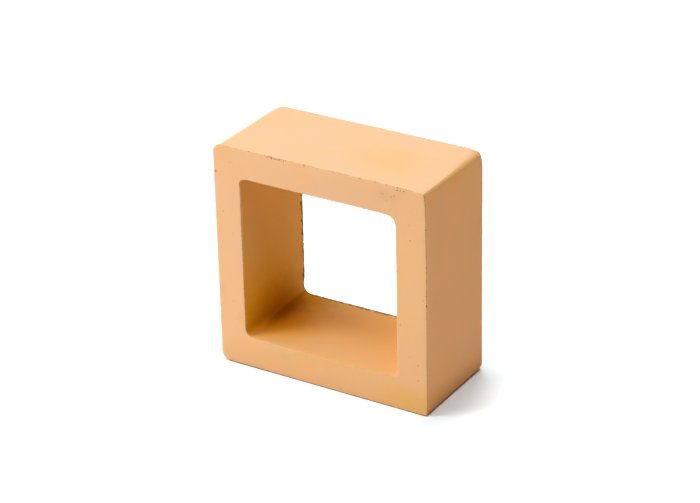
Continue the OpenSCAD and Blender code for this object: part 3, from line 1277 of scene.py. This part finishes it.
def mixed_shaders(tree, factor, first, second):
    """Output of a Mix Shader node."""
    node = tree.nodes.new("ShaderNodeMixShader")
    for value, socket in zip((factor, first, second), node.inputs):
        tree.links.new(value, socket)
    return node.outputs[0]


def add_sky(studio):
    """Even light from all round, white to the camera."""
    world = bpy.data.worlds.new("studio")
    tree = empty_tree(world)
    output = tree.nodes.new("ShaderNodeOutputWorld")
    lights = []
    for strength in (studio.sky, 1):
        background = tree.nodes.new("ShaderNodeBackground")
        background.inputs["Color"].default_value = (1, 1, 1, 1)
        background.inputs["Strength"].default_value = strength
        lights.append(background.outputs[0])
    tree.links.new(mixed_shaders(tree, seen_directly(tree), *lights), output.inputs["Surface"])
    bpy.context.scene.world = world


def floor_tone(tree, studio, shape):
    """Socket of the floor's colour to the camera: painted brown contact shade under the block's edges, a
    painted shadow and bounce glow to its right, white all round.
    """
    _, right_round, left_round, _ = shape.corner_radii
    low = CAD_BOX[0] + Vector((left_round, 2 * shape.arris_radius, 0))
    high = CAD_BOX[1] - right_round * Vector((*CONTACT_SHADE_INSET, 0))
    place = tree.nodes.new("ShaderNodeTexCoord").outputs["Object"]
    offset = vector_sums(tree, "SUBTRACT", place, (low + high) / 2)
    past = vector_sums(tree, "SUBTRACT", vector_sums(tree, "ABSOLUTE", offset), (high - low) / 2)
    past = vector_sums(tree, "MAXIMUM", past, Vector((0, 0, 0)))
    away = vector_sums(tree, "LENGTH", vector_sums(tree, "MULTIPLY", past, Vector((1, 1, 0))))
    along = split(tree, place)
    on_right = spread(tree, along["X"], [CAD_BOX[1].x + past_face for past_face in NEAR_RIGHT])
    short_of_back = spread(tree, along["Y"], [CAD_BOX[1].y + past_face for past_face in NEAR_BACK])
    near = product(tree, spread(tree, away, NEAR_FADE), on_right, short_of_back)
    pale = mixed(tree, near, studio.floor_white, studio.floor_near)
    glow = product(tree, spread(tree, away, GLOW_FADE), on_right)
    pale = mixed(tree, glow, pale, studio.floor_glow)
    return mixed(tree, spread(tree, away, CONTACT_SHADE_FADE), studio.floor_contact_shade, pale)


def add_floor(studio, shape):
    """White floor that keeps the block's shadow, with a painted shadow, bounce glow and contact shade beside
    the block, and fades to plain white away from it.
    """
    bpy.ops.object.select_all(action="DESELECT")
    bpy.ops.mesh.primitive_plane_add(size=studio.floor_size, location=(0, 0, CAD_BOX[0].z))
    floor = bpy.context.object
    floor.name = "floor"
    material = bpy.data.materials.new("floor")
    tree = empty_tree(material)
    output = tree.nodes.new("ShaderNodeOutputMaterial")
    paints = []
    for shade in ((studio.floor_shade,) * 3, floor_tone(tree, studio, shape)):
        paint = tree.nodes.new("ShaderNodeBsdfDiffuse")
        feed(tree, shade, paint.inputs["Color"])
        paints.append(paint.outputs[0])
    seen = seen_directly(tree)
    white = tree.nodes.new("ShaderNodeEmission").outputs[0]
    away = vector_sums(tree, "LENGTH", tree.nodes.new("ShaderNodeTexCoord").outputs["Object"])
    faded = spread(tree, away, (FADE_START * studio.floor_fade, studio.floor_fade))
    surface = mixed_shaders(tree, seen, *paints)
    surface = mixed_shaders(tree, product(tree, faded, seen), surface, white)
    tree.links.new(surface, output.inputs["Surface"])
    material.cycles.emission_sampling = "NONE"
    floor.data.materials.append(material)


class BREEZE_OT_studio(bpy.types.Operator):
    """Set the camera, the lights and the floor"""

    bl_idname = "breeze.studio"
    bl_label = "Studio"

    def execute(self, context):
        studio = context.scene.breeze_block.studio
        add_camera(studio)
        for name, size in (
            ("key", studio.box_size), ("over", studio.over_size),
            ("rear", studio.box_size), ("side", studio.box_size),
        ):
            add_soft_box(studio, name, size)
        add_sky(studio)
        add_floor(studio, context.scene.breeze_block.shape)
        context.scene.view_settings.view_transform = "Standard"
        return {"FINISHED"}


class BREEZE_PT_panel(bpy.types.Panel):
    """Lists the steps and settings of the block and its studio"""

    bl_label = "Breeze block"
    bl_idname = "BREEZE_PT_panel"
    bl_space_type = "VIEW_3D"
    bl_region_type = "UI"
    bl_category = "Breeze block"

    def draw(self, context):
        settings = context.scene.breeze_block
        for operator, groups in (
            (BREEZE_OT_fired_block, (settings.shape, settings.marks, settings.finish)),
            (BREEZE_OT_studio, (settings.studio,)),
        ):
            self.layout.operator(operator.bl_idname)
            for group in groups:
                column = self.layout.column()
                for name in group.__annotations__:
                    column.prop(group, name)


CLASSES = (
    BlockShape,
    ClayMarks,
    ClayFinish,
    Studio,
    BreezeBlockSettings,
    BREEZE_OT_fired_block,
    BREEZE_OT_studio,
    BREEZE_PT_panel,
)


def register():
    for cls in CLASSES:
        bpy.utils.register_class(cls)
    bpy.types.Scene.breeze_block = PointerProperty(type=BreezeBlockSettings)


def unregister():
    del bpy.types.Scene.breeze_block
    for cls in reversed(CLASSES):
        bpy.utils.unregister_class(cls)


def main():
    register()
    bpy.ops.breeze.fired_block()
    bpy.ops.breeze.studio()


if __name__ == "__main__":
    main()
